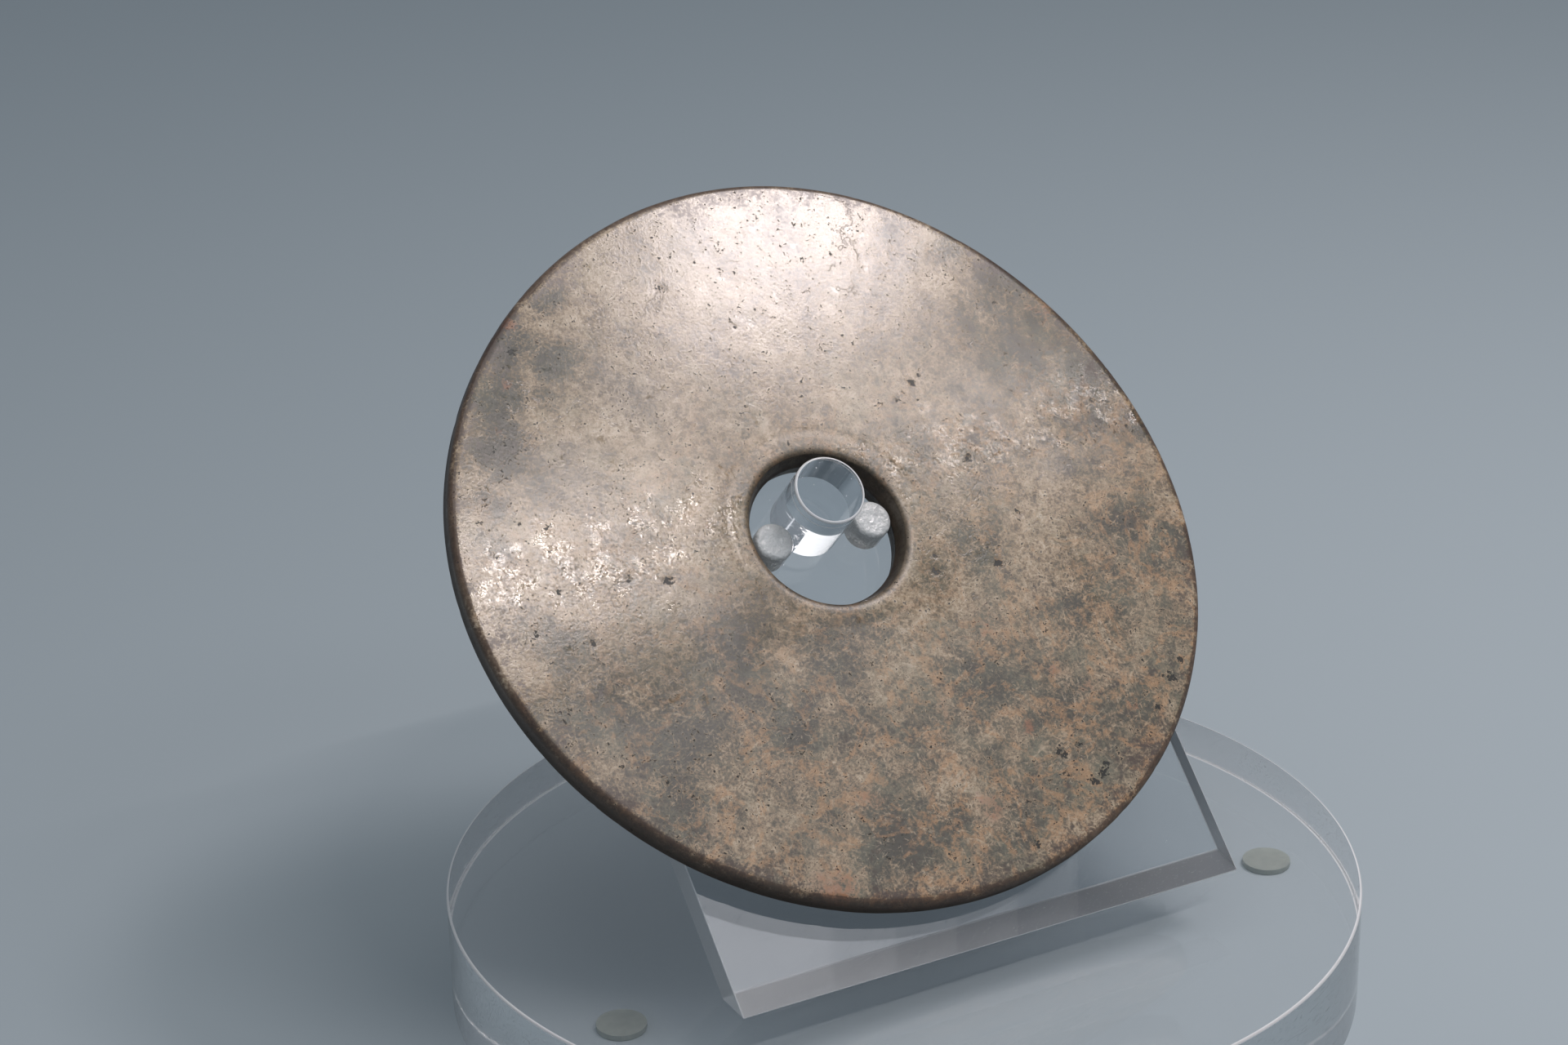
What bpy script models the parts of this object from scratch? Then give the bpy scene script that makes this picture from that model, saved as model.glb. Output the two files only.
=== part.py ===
"""A plain jade bi disc leaning on a clear acrylic stand.

Metres, +Z up. The origin is on the table, under the middle of the round base, and the front is towards -Y.
The sheet, its pegs and the disc hang on one empty, which lies on the sheet's lower front edge with its Y up
the slope and its Z out of the sheet's face.
"""
from math import cos, pi, radians, sin, tan

import bmesh
import bpy

# Gap kept between pieces that touch
CONTACT_GAP = 0.0003

# The disc: crowns are how far the middle of a face stands above its rim
DISC_RADIUS = 0.1000
RIM_THICKNESS = 0.0065
FRONT_CROWN = 0.0014
BACK_CROWN = 0.0024
FRONT_EDGE_ROUND = 0.0018
BACK_EDGE_ROUND = 0.0012
# Worn out of round: waves round the rim, height as a share of the radius, phase
RIM_WAVES = ((2, 0.0019, radians(128.0)), (3, 0.0079, radians(-146.0)), (4, 0.0028, radians(-43.0)))

# The hole, drilled from both faces to a ridge inside
HOLE_MOUTH_RADIUS = 0.0210
HOLE_RIDGE_RADIUS = 0.0195
HOLE_BACK_RADIUS = 0.0203
RIDGE_DEPTH = 0.0042
LIP_WIDTH = 0.0042
LIP_DROP = 0.0006
HOLE_OFF_CENTRE_X = -0.0027
HOLE_OFF_CENTRE_UP = 0.0005

# The round base and the pads under it
BASE_RADIUS = 0.1160
BASE_THICKNESS = 0.0287
BASE_CHAMFER = 0.0006
PAD_RADIUS = 0.0062
PAD_THICKNESS = 0.0015
PAD_EDGE_ROUND = 0.0004
# Stuck on by hand: direction from the middle, distance in from the base's edge
PAD_PLACES = {
    "right": (radians(-16.7), 0.0175),
    "back": (radians(86.0), 0.0220),
    "left": (radians(189.3), 0.0275),
    "front": (radians(270.0), 0.0220),
}

# The tilted sheet
EASEL_TILT = radians(44.5)
EASEL_WIDTH = 0.1420
EASEL_THICKNESS = 0.0074
EASEL_CHAMFER = 0.0003
EASEL_SETBACK = 0.0470
EASEL_TOP_MARGIN = 0.0130
TOE_CLEARANCE = 0.0105
DISC_CENTRE_X = -0.0032

# The rod through the hole, and the two short pegs beside it that the hole rests on
PEG_RADIUS = 0.0093
PEG_LENGTH = 0.0194
PEG_CHAMFER = 0.0008
# Which way the rod stands from the left short peg, up from level
PEG_TURN = radians(22.5)
BUMPER_RADIUS = 0.0051
BUMPER_LENGTH = 0.0077
BUMPER_ROUND = 0.0013
# Which way the short pegs stand from the hole's middle, up from level
BUMPER_TURN = radians(3.0)

# Facets
DISC_SEGMENTS = 96
FACE_RINGS = 5
ROUND_STEPS = 3
BASE_SEGMENTS = 96
PEG_SEGMENTS = 40
BUMPER_SEGMENTS = 28
SHARP_ANGLE = radians(30.0)

# Places on the sheet: X across it, UP the slope from its lower front edge, OUT of its face
DISC_CENTRE_UP = DISC_RADIUS + TOE_CLEARANCE
DISC_CENTRE_OUT = CONTACT_GAP + BACK_CROWN + RIM_THICKNESS / 2
HOLE_X = DISC_CENTRE_X + HOLE_OFF_CENTRE_X
HOLE_UP = DISC_CENTRE_UP + HOLE_OFF_CENTRE_UP
BUMPER_TO_HOLE = HOLE_RIDGE_RADIUS - CONTACT_GAP - BUMPER_RADIUS
BUMPER_SHIFT = BUMPER_TO_HOLE * cos(BUMPER_TURN)
BUMPER_UP = HOLE_UP + BUMPER_TO_HOLE * sin(BUMPER_TURN)
PEG_TO_BUMPER = PEG_RADIUS + CONTACT_GAP + BUMPER_RADIUS
PEG_X = HOLE_X - BUMPER_SHIFT + PEG_TO_BUMPER * cos(PEG_TURN)
PEG_UP = BUMPER_UP + PEG_TO_BUMPER * sin(PEG_TURN)
EASEL_LENGTH = HOLE_UP + HOLE_RIDGE_RADIUS + EASEL_TOP_MARGIN

# Heights over the table
BASE_BOTTOM = PAD_THICKNESS + CONTACT_GAP
BASE_TOP = BASE_BOTTOM + BASE_THICKNESS


def clear_scene():
    """Remove every object of the open scene."""
    for item in list(bpy.data.objects):
        bpy.data.objects.remove(item, do_unlink=True)


def make_material(name, colour, roughness, metallic=0.0, alpha=1.0):
    """A Principled material in one plain finish."""
    material = bpy.data.materials.new(name)
    material.use_nodes = True
    shader = material.node_tree.nodes["Principled BSDF"]
    shader.inputs["Base Color"].default_value = (*colour, 1.0)
    shader.inputs["Roughness"].default_value = roughness
    shader.inputs["Metallic"].default_value = metallic
    shader.inputs["Alpha"].default_value = alpha
    material.diffuse_color = (*colour, alpha)
    return material


def add_object(name, shape, material, parent=None, location=(0.0, 0.0, 0.0)):
    """Put a bmesh in the scene as a named, smooth-shaded object."""
    bmesh.ops.recalc_face_normals(shape, faces=shape.faces)
    mesh = bpy.data.meshes.new(name)
    shape.to_mesh(mesh)
    shape.free()
    mesh.materials.append(material)
    mesh.shade_smooth()
    mesh.set_sharp_from_angle(angle=SHARP_ANGLE)
    item = bpy.data.objects.new(name, mesh)
    bpy.context.scene.collection.objects.link(item)
    item.parent = parent
    item.location = location
    return item


def quarter_round(centre, start, end, radius):
    """Section points of a rounded edge, from angle start to angle end."""
    turns = [start + (end - start) * step / ROUND_STEPS for step in range(ROUND_STEPS + 1)]
    return [(centre[0] + radius * cos(turn), centre[1] + radius * sin(turn)) for turn in turns]


def bridge(shape, ring, following):
    """Join two rings of vertices with a band of faces."""
    for step in range(len(ring)):
        ahead = (step + 1) % len(ring)
        shape.faces.new((ring[step], following[step], following[ahead], ring[ahead]))


def turned_solid(profile, segments):
    """A turned piece about Z. The profile's points are (radius, height), from its top face to its bottom face."""
    shape = bmesh.new()
    turns = [2 * pi * step / segments for step in range(segments)]
    rings = []
    for radius, height in profile:
        rings.append([shape.verts.new((radius * cos(turn), radius * sin(turn), height)) for turn in turns])
    for ring, following in zip(rings, rings[1:]):
        bridge(shape, ring, following)
    shape.faces.new(rings[0])
    shape.faces.new(rings[-1])
    return shape


def outline_radius(turn):
    """The disc's radius in one direction, along its worn outline."""
    return DISC_RADIUS * (1.0 + sum(share * cos(count * turn - phase) for count, share, phase in RIM_WAVES))


def face_height(x, y, crown):
    """How far a domed face stands above its rim at a point of the disc."""
    return crown * (1.0 - (x * x + y * y) / DISC_RADIUS**2)


def hole_point(turn, radius):
    """A point of a circle round the hole's axis."""
    return HOLE_OFF_CENTRE_X + radius * cos(turn), HOLE_OFF_CENTRE_UP + radius * sin(turn)


def hole_ring(shape, turns, radius, side, crown, drop):
    """A ring round the hole, a drop below the domed face on one side (1 front, -1 back)."""
    ring = []
    for turn in turns:
        x, y = hole_point(turn, radius)
        height = RIM_THICKNESS / 2 + face_height(x, y, crown) - drop
        ring.append(shape.verts.new((x, y, side * height)))
    return ring


def rim_ring(shape, turns, inset, height):
    """A ring along the outline, moved in by an inset."""
    ring = []
    for turn in turns:
        reach = outline_radius(turn) - inset
        ring.append(shape.verts.new((reach * cos(turn), reach * sin(turn), height)))
    return ring


def face_rings(shape, turns, hole_radius, inset, side, crown):
    """Rings over one domed face, from the hole's lip out towards the rim."""
    rings = []
    for step in range(FACE_RINGS):
        share = step / FACE_RINGS
        ring = []
        for turn in turns:
            inner_x, inner_y = hole_point(turn, hole_radius + LIP_WIDTH)
            reach = outline_radius(turn) - inset
            x = inner_x + (reach * cos(turn) - inner_x) * share
            y = inner_y + (reach * sin(turn) - inner_y) * share
            ring.append(shape.verts.new((x, y, side * (RIM_THICKNESS / 2 + face_height(x, y, crown)))))
        rings.append(ring)
    return rings


def disc_solid():
    """The disc about its own middle, front face up: ridge, front face, rim and back face in one closed band."""
    shape = bmesh.new()
    turns = [2 * pi * step / DISC_SEGMENTS for step in range(DISC_SEGMENTS)]
    half = RIM_THICKNESS / 2
    rings = [hole_ring(shape, turns, HOLE_RIDGE_RADIUS, 1, FRONT_CROWN, LIP_DROP + RIDGE_DEPTH)]
    rings.append(hole_ring(shape, turns, HOLE_MOUTH_RADIUS, 1, FRONT_CROWN, LIP_DROP))
    rings += face_rings(shape, turns, HOLE_MOUTH_RADIUS, FRONT_EDGE_ROUND, 1, FRONT_CROWN)
    for inset, height in quarter_round((FRONT_EDGE_ROUND, half - FRONT_EDGE_ROUND), pi / 2, pi, FRONT_EDGE_ROUND):
        rings.append(rim_ring(shape, turns, inset, height))
    for inset, height in quarter_round((BACK_EDGE_ROUND, BACK_EDGE_ROUND - half), pi, 1.5 * pi, BACK_EDGE_ROUND):
        rings.append(rim_ring(shape, turns, inset, height))
    rings += reversed(face_rings(shape, turns, HOLE_BACK_RADIUS, BACK_EDGE_ROUND, -1, BACK_CROWN))
    rings.append(hole_ring(shape, turns, HOLE_BACK_RADIUS, -1, BACK_CROWN, LIP_DROP))
    for ring, following in zip(rings, rings[1:] + rings[:1]):
        bridge(shape, ring, following)
    return shape


def sheet_solid():
    """The tilted sheet in the empty's frame: a long section with a mitred foot, run across the stand."""
    shape = bmesh.new()
    section = ((0.0, 0.0), (EASEL_LENGTH, 0.0), (EASEL_LENGTH, -EASEL_THICKNESS),
               (EASEL_THICKNESS / tan(EASEL_TILT), -EASEL_THICKNESS))
    ends = []
    for x in (-EASEL_WIDTH / 2, EASEL_WIDTH / 2):
        ends.append([shape.verts.new((x, up, out)) for up, out in section])
        shape.faces.new(ends[-1])
    bridge(shape, *ends)
    return shape


def add_base(acrylic):
    """The thick round base, with a fine chamfer on both edges."""
    profile = [
        (BASE_RADIUS - BASE_CHAMFER, BASE_THICKNESS),
        (BASE_RADIUS, BASE_THICKNESS - BASE_CHAMFER),
        (BASE_RADIUS, BASE_CHAMFER),
        (BASE_RADIUS - BASE_CHAMFER, 0.0),
    ]
    return add_object("base_disc", turned_solid(profile, BASE_SEGMENTS), acrylic, location=(0.0, 0.0, BASE_BOTTOM))


def add_pads(silicone):
    """The round pads under the base, set in from its edge."""
    for side, (turn, margin) in PAD_PLACES.items():
        reach = BASE_RADIUS - margin
        lower_edge = quarter_round((PAD_RADIUS - PAD_EDGE_ROUND, PAD_EDGE_ROUND), 0.0, -pi / 2, PAD_EDGE_ROUND)
        profile = [(PAD_RADIUS, PAD_THICKNESS), *lower_edge]
        place = (reach * cos(turn), reach * sin(turn), 0.0)
        add_object(f"foot_pad_{side}", turned_solid(profile, BUMPER_SEGMENTS), silicone, location=place)


def add_easel(acrylic, slope):
    """The tilted sheet, with its edges broken by a fine chamfer."""
    sheet = add_object("easel_plate", sheet_solid(), acrylic, slope)
    chamfer = sheet.modifiers.new("edge_chamfer", "BEVEL")
    chamfer.width = EASEL_CHAMFER
    chamfer.segments = 1
    chamfer.limit_method = "ANGLE"
    chamfer.angle_limit = SHARP_ANGLE


def add_pegs(acrylic, frosted, slope):
    """The rod that stands through the hole and the two frosted pegs that the hole's ridge rests on."""
    profile = [
        (PEG_RADIUS - PEG_CHAMFER, PEG_LENGTH),
        (PEG_RADIUS, PEG_LENGTH - PEG_CHAMFER),
        (PEG_RADIUS, 0.0),
    ]
    rod = turned_solid(profile, PEG_SEGMENTS)
    add_object("through_peg", rod, acrylic, slope, (PEG_X, PEG_UP, CONTACT_GAP))
    for name, side in (("left_bumper", -1), ("right_bumper", 1)):
        centre = (BUMPER_RADIUS - BUMPER_ROUND, BUMPER_LENGTH - BUMPER_ROUND)
        profile = [*quarter_round(centre, pi / 2, 0.0, BUMPER_ROUND), (BUMPER_RADIUS, 0.0)]
        place = (HOLE_X + side * BUMPER_SHIFT, BUMPER_UP, CONTACT_GAP)
        add_object(name, turned_solid(profile, BUMPER_SEGMENTS), frosted, slope, place)


def add_slope():
    """The empty on the sheet's lower front edge that carries everything that leans."""
    slope = bpy.data.objects.new("slope", None)
    bpy.context.scene.collection.objects.link(slope)
    slope.location = (0.0, -EASEL_SETBACK, BASE_TOP + CONTACT_GAP)
    slope.rotation_euler = (EASEL_TILT, 0.0, 0.0)
    return slope


def main():
    """Build the stand from the table up, then lean the disc on it."""
    clear_scene()
    jade = make_material("mottled_jade", (0.30, 0.25, 0.20), 0.38)
    acrylic = make_material("clear_acrylic", (0.86, 0.92, 0.93), 0.03, alpha=0.3)
    frosted = make_material("frosted_acrylic", (0.75, 0.80, 0.80), 0.55, alpha=0.75)
    silicone = make_material("pad_silicone", (0.72, 0.78, 0.76), 0.50, alpha=0.6)
    add_pads(silicone)
    add_base(acrylic)
    slope = add_slope()
    add_easel(acrylic, slope)
    add_pegs(acrylic, frosted, slope)
    add_object("bi_disc", disc_solid(), jade, slope, (DISC_CENTRE_X, DISC_CENTRE_UP, DISC_CENTRE_OUT))


main()
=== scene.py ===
"""Looks of a plain jade bi disc that leans on its clear acrylic stand.

Metres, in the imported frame: +Z up, the table at Z 0, the origin under the middle of the round base and the
front towards -Y. What leans is built in the slope's own frame: X across the sheet, Y up its slope and Z out
of its face.
"""
import logging
from dataclasses import dataclass
from enum import Enum
from math import cos, pi, radians, sin, tan
from typing import Callable, Iterable, Sequence, Union

import bpy
import numpy as np
from mathutils import Matrix, Vector, noise


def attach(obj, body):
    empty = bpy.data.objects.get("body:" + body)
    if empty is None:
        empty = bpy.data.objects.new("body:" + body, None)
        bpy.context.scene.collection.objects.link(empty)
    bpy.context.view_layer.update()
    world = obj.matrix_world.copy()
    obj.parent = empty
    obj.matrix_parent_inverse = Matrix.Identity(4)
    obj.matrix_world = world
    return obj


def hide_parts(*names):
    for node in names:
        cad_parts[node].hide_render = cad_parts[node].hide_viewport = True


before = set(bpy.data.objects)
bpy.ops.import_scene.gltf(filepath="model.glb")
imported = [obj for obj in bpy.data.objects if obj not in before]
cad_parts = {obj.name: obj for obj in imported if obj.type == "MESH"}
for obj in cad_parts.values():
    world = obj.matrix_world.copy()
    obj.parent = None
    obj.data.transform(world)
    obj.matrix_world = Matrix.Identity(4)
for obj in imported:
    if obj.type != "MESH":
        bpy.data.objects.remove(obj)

LOG = logging.getLogger("bi_disc")
BODY = "root"
MM = 0.001
CONTACT_GAP = 0.0003

Colour = tuple[float, float, float]
Place = tuple[float, float, float]
Number = Union[int, float]


def tone(red: int, green: int, blue: int) -> Colour:
    """A linear colour from the red, green and blue, 0 to 255, that a screen shows."""
    shares = [value / 255.0 for value in (red, green, blue)]
    return tuple(share / 12.92 if share <= 0.04045 else ((share + 0.055) / 1.055) ** 2.4 for share in shares)


def operator(operation: str, swapped: bool = False) -> Callable[["Value", "Term"], "Value"]:
    """Make an operator that adds a Math node.

    Args:
        operation: The node's operation.
        swapped: True where the other term comes first.

    Returns:
        The operator, which takes a value and another term.
    """
    def apply(value: "Value", other: "Term") -> "Value":
        """Add the node on both terms."""
        first, second = (other, value) if swapped else (value, other)
        return value.graph.add("ShaderNodeMath", {"operation": operation}, {0: first, 1: second})

    return apply


class Value:
    """One output of a shader graph. Python's operators on it add Math nodes."""

    def __init__(self, graph: "Graph", socket: bpy.types.NodeSocket) -> None:
        """Keep the graph and the output socket."""
        self.graph = graph
        self.socket = socket

    __add__ = __radd__ = operator("ADD")
    __sub__ = operator("SUBTRACT")
    __rsub__ = operator("SUBTRACT", swapped=True)
    __mul__ = __rmul__ = operator("MULTIPLY")
    __pow__ = operator("POWER")

    def ramp(self, low: float, high: float, start: float = 0.0, end: float = 1.0) -> "Value":
        """Ease this value from start, at low and below, to end, at high and above.

        Args:
            low: Where the change begins.
            high: Where the change ends.
            start: What low and below give.
            end: What high and above give.

        Returns:
            The eased value.
        """
        return self.graph.add(
            "ShaderNodeMapRange",
            {"interpolation_type": "SMOOTHSTEP"},
            {"Value": self, "From Min": low, "From Max": high, "To Min": start, "To Max": end},
        )

    def clamped(self) -> "Value":
        """This value held between 0 and 1."""
        return self.graph.add("ShaderNodeClamp", {}, {"Value": self})


Term = Union[Value, Number]
Paint = Union[Value, Colour]


class Graph:
    """The node tree of one material, with a Principled shader ready in it."""

    def __init__(self, name: str) -> None:
        """Make the material and find its shader.

        Args:
            name: The material's name.
        """
        self.material = bpy.data.materials.new(name)
        self.material.use_nodes = True
        self.tree = self.material.node_tree
        self.shader = self.tree.nodes["Principled BSDF"]
        self.place = Value(self, self.tree.nodes.new("ShaderNodeTexCoord").outputs["Object"])

    def add(self, kind: str, settings: dict, sockets: dict, output: Union[int, str] = 0) -> Value:
        """Add any node.

        Args:
            kind: The node's type.
            settings: Its properties, set first. The key "stops" fills a colour ramp.
            sockets: The values or links of its inputs, by name or number.
            output: The output that is wanted.

        Returns:
            That output.
        """
        node = self.tree.nodes.new(kind)
        for name, setting in settings.items():
            if name == "stops":
                elements = node.color_ramp.elements
                while len(elements) < len(setting):
                    elements.new(0.5)
                for element, (position, colour) in zip(elements, setting):
                    element.position = position
                    element.color = (*colour, 1.0)
            else:
                setattr(node, name, setting)
        for key, term in sockets.items():
            self.feed(node.inputs[key], term)
        return Value(self, node.outputs[output])

    def feed(self, socket: bpy.types.NodeSocket, term: Union[Term, Paint]) -> None:
        """Link a value to an input, or write a constant on it.

        Args:
            socket: The input.
            term: A value of this graph, a number or a colour.
        """
        if isinstance(term, Value):
            self.tree.links.new(term.socket, socket)
        elif isinstance(term, tuple) and len(socket.default_value) == 4:
            socket.default_value = (*term, 1.0)
        else:
            socket.default_value = term

    def noise(self, size: float, detail: float = 4.0, roughness: float = 0.55, distortion: float = 0.0,
              length: float = 1.0, turn: float = 0.0) -> Value:
        """Cloudy noise from 0 to 1.

        Args:
            size: How wide its patches are, in metres.
            detail: Octaves of finer noise.
            roughness: Strength of the finer octaves.
            distortion: How much the patches are pulled about.
            length: How many times as long as wide the patches are, along the turned X.
            turn: Where their long way points, from X towards Y.

        Returns:
            The noise.
        """
        place = self.place
        if length != 1.0:
            sockets = {"Vector": place, "Rotation": (0.0, 0.0, turn), "Scale": (length, 1.0, 1.0)}
            place = self.add("ShaderNodeMapping", {"vector_type": "TEXTURE"}, sockets)
        sockets = {"Vector": place, "Scale": 1.0 / size, "Detail": detail, "Roughness": roughness,
                   "Distortion": distortion}
        return self.add("ShaderNodeTexNoise", {}, sockets)

    def facets(self, size: float, tilt: float, share: Value) -> Value:
        """The surface's normal, tipped another way in each small cell.

        Args:
            size: How wide the cells are, in metres.
            tilt: How far the normals tip, in radians from one side to the other.
            share: Where they tip.

        Returns:
            The normal.
        """
        cells = self.add("ShaderNodeTexVoronoi", {}, {"Vector": self.place, "Scale": 1.0 / size}, "Color")
        lean = self.add("ShaderNodeVectorMath", {"operation": "SUBTRACT"}, {0: cells, 1: (0.5, 0.5, 0.5)})
        lean = self.add("ShaderNodeVectorMath", {"operation": "SCALE"}, {0: lean, "Scale": share * tilt})
        upright = self.add("ShaderNodeNewGeometry", {}, {}, "Normal")
        tipped = self.add("ShaderNodeVectorMath", {"operation": "ADD"}, {0: upright, 1: lean})
        return self.add("ShaderNodeVectorMath", {"operation": "NORMALIZE"}, {0: tipped})

    def most(self, *terms: Term) -> Value:
        """The greatest of some values.

        Args:
            *terms: The values, of which the first is a value of this graph.

        Returns:
            The greatest at each place.
        """
        top = terms[0]
        for term in terms[1:]:
            top = self.add("ShaderNodeMath", {"operation": "MAXIMUM"}, {0: top, 1: term})
        return top

    def painted(self, name: str) -> Value:
        """A mask that the mesh carries."""
        return self.add("ShaderNodeAttribute", {"attribute_name": name}, {}, "Fac")

    def mix(self, share: Term, first: Paint, second: Paint, blend: str = "MIX") -> Value:
        """Mix two colours, where share is how much of the second shows."""
        settings = {"data_type": "RGBA", "blend_type": blend, "clamp_factor": True}
        return self.add("ShaderNodeMix", settings, {0: share, 6: first, 7: second}, 2)

    def bump(self, height: Term, distance: float, normal: Union[Value, None] = None) -> None:
        """Feed a Bump node into the shader's normal.

        Args:
            height: The relief, from 0 to 1.
            distance: What a height of 1 measures, in metres.
            normal: The normal that it starts from, where that isn't the mesh's own.
        """
        sockets = {"Height": height, "Distance": distance}
        if normal is not None:
            sockets["Normal"] = normal
        self.feed(self.shader.inputs["Normal"], self.add("ShaderNodeBump", {}, sockets))

    def finish(self, **sockets: Union[Term, Paint]) -> bpy.types.Material:
        """Set the shader's sockets, named with underscores for their spaces.

        Args:
            **sockets: Values, links or colours.

        Returns:
            The finished material.
        """
        for name, term in sockets.items():
            self.feed(self.shader.inputs[name.replace("_", " ")], term)
        return self.material


@dataclass(frozen=True)
class StoneNoise:
    """The noises and the painted mask that the stone's layers share."""

    grain: Value
    felt: Value
    strands: Value
    cloud: Value
    tint: Value
    weathered: Value
    ragged: Value


@dataclass(frozen=True)
class StoneHollows:
    """Masks of what is sunk into the polish."""

    specks: Value
    cracks: Value
    pits: Value


@dataclass(frozen=True)
class JadeFinish:
    """Old polished jade: felted beige stone with olive and slate clouds, rusty veins and dark pits."""

    shadow: Colour = tone(62, 60, 50)
    olive: Colour = tone(93, 86, 68)
    brown: Colour = tone(129, 111, 88)
    beige: Colour = tone(163, 143, 116)
    pale: Colour = tone(188, 170, 145)
    cream: Colour = tone(208, 195, 175)
    slate: Colour = tone(102, 102, 99)
    green: Colour = tone(112, 116, 98)
    tan: Colour = tone(182, 138, 94)
    rust: Colour = tone(146, 90, 60)
    pit: Colour = tone(34, 38, 38)
    crust: Colour = tone(72, 52, 43)
    # Dark brown of the rim's wall, the hole's wall and the lip's steep part: partly the stone's own ground
    # colour, partly painted shade where these walls turn away from the light.
    wall: Colour = tone(50, 40, 30)
    polish: float = 0.16
    sparkle: float = 0.048
    refraction: float = 1.60
    relief: float = 0.00003
    facet: float = 0.00050
    grain: float = 0.0008
    strand: float = 0.0007
    strand_length: float = 4.0
    strand_turns: tuple[float, ...] = (radians(25.0), radians(85.0), radians(150.0))
    felt: float = 0.0024
    cloud: float = 0.0110
    tint: float = 0.0130
    broad: float = 0.0380
    seam: float = 0.0200
    net: float = 0.0075
    vein: float = 0.0260
    fine_speck: float = 0.0010
    large_speck: float = 0.0023
    crack: float = 0.0320
    shard: float = 0.0060

    def noises(self, graph: Graph) -> StoneNoise:
        """Make the noises that the layers share.

        Args:
            graph: The stone's graph.

        Returns:
            The noises.
        """
        grain = graph.noise(self.grain, 3.0, 0.60)
        felt = graph.noise(self.felt, 5.0, 0.68, 0.35)
        bundles = [graph.noise(self.strand, 3.0, 0.6, 0.6, self.strand_length, turn)
                   for turn in self.strand_turns]
        strands = graph.most(*bundles)
        cloud = graph.noise(self.cloud, 6.0, 0.66, 0.30)
        tint = graph.noise(self.tint, 6.0, 0.70, 0.40)
        ragged = (felt - 0.5) * 2.2 + (grain - 0.5) * 1.3 + (cloud - 0.5) * 2.2 + (strands - 0.62) * 1.2
        return StoneNoise(grain, felt, strands, cloud, tint, graph.painted("weathered"), ragged)

    def ground(self, graph: Graph, noises: StoneNoise) -> Value:
        """Colour the stone itself, from dark olive stains up to cream.

        Args:
            graph: The stone's graph.
            noises: The shared noises.

        Returns:
            The colour.
        """
        broad = graph.noise(self.broad, 3.0, 0.50, 0.20)
        olive = graph.painted("olive") * (0.60 + noises.felt.ramp(0.38, 0.60) * 0.80)
        cream = graph.painted("cream")
        mottle = (noises.cloud - 0.5) * 1.15 + (noises.felt - 0.5) * 1.15
        mottle = mottle + (noises.grain - 0.5) * 1.0 + (noises.strands - 0.62) * 1.0
        unrest = 0.90 + noises.weathered * 0.30 + olive * 0.60
        stains = cream * 0.17 - olive * 0.28 - noises.weathered * 0.15
        depth = 0.600 + (broad - 0.5) * 0.50 + mottle * unrest + stains
        stops = ((0.0, self.shadow), (0.22, self.olive), (0.42, self.brown), (0.60, self.beige),
                 (0.80, self.pale), (1.0, self.cream))
        return graph.add("ShaderNodeValToRGB", {"stops": stops}, {0: depth})

    def clouded(self, graph: Graph, noises: StoneNoise, stone: Value) -> Value:
        """Lay green and slate clouds over the stone.

        Args:
            graph: The stone's graph.
            noises: The shared noises.
            stone: The colour below.

        Returns:
            The colour.
        """
        fresh = ((noises.tint - 0.46) * 3.2).clamped() * (0.38 + noises.weathered * 0.38)
        stone = graph.mix(fresh, stone, self.green)
        dusk = graph.painted("slate") * 0.75 + (0.46 - noises.tint) * (1.5 - noises.weathered * 0.9)
        dusk = dusk.clamped() * (0.62 - noises.ragged * 0.55)
        return graph.mix(dusk.clamped(), stone, self.slate)

    def veined(self, graph: Graph, noises: StoneNoise, stone: Value) -> Value:
        """Lay tan seams, a pale net, warm veins and rust over the stone.

        Args:
            graph: The stone's graph.
            noises: The shared noises.
            stone: The colour below.

        Returns:
            The colour.
        """
        sinewy = noises.strands.ramp(0.55, 0.68)
        seams = (graph.noise(self.seam, 5.0, 0.62, 0.8) - 0.5) ** 2.0
        seams = seams.ramp(0.0016, 0.0) * noises.felt.ramp(0.38, 0.60) * noises.weathered
        stone = graph.mix(seams * 0.55, stone, self.tan)
        net = (graph.noise(self.net, 4.0, 0.60, 1.0) - 0.5) ** 2.0
        net = net.ramp(0.0009, 0.0) * sinewy * noises.weathered
        stone = graph.mix(net * 0.55, stone, self.pale)
        warm = graph.noise(self.vein, 4.0, 0.66, 0.5).ramp(0.52, 0.66) * sinewy
        stone = graph.mix(warm * (0.13 + noises.weathered * 0.18), stone, self.tan)
        rust = (graph.painted("rust") + noises.ragged).ramp(0.45, 1.2)
        return graph.mix(rust * 0.60, stone, self.rust)

    def hollows(self, graph: Graph, noises: StoneNoise) -> StoneHollows:
        """Find the specks, cracks and pits.

        Args:
            graph: The stone's graph.
            noises: The shared noises.

        Returns:
            Their masks.
        """
        fine = graph.noise(self.fine_speck, 2.0, 0.55).ramp(0.640, 0.69)
        large = graph.noise(self.large_speck, 3.0, 0.60).ramp(0.640, 0.69)
        specks = graph.most(fine, large) * noises.cloud.ramp(0.56, 0.42, 0.20, 0.95)
        specks = specks * (0.30 + noises.weathered * 0.70)
        cracks = (graph.noise(self.crack, 5.0, 0.62, 0.6) - 0.5) ** 2.0
        cracks = cracks.ramp(0.00004, 0.0) * graph.noise(self.vein, 3.0, 0.6).ramp(0.54, 0.60)
        pits = graph.painted("pit") * 1.05 + (noises.grain - 0.5) * 3.4 + (noises.felt - 0.5) * 2.6
        return StoneHollows(specks, cracks, pits.ramp(0.60, 0.70))

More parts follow.
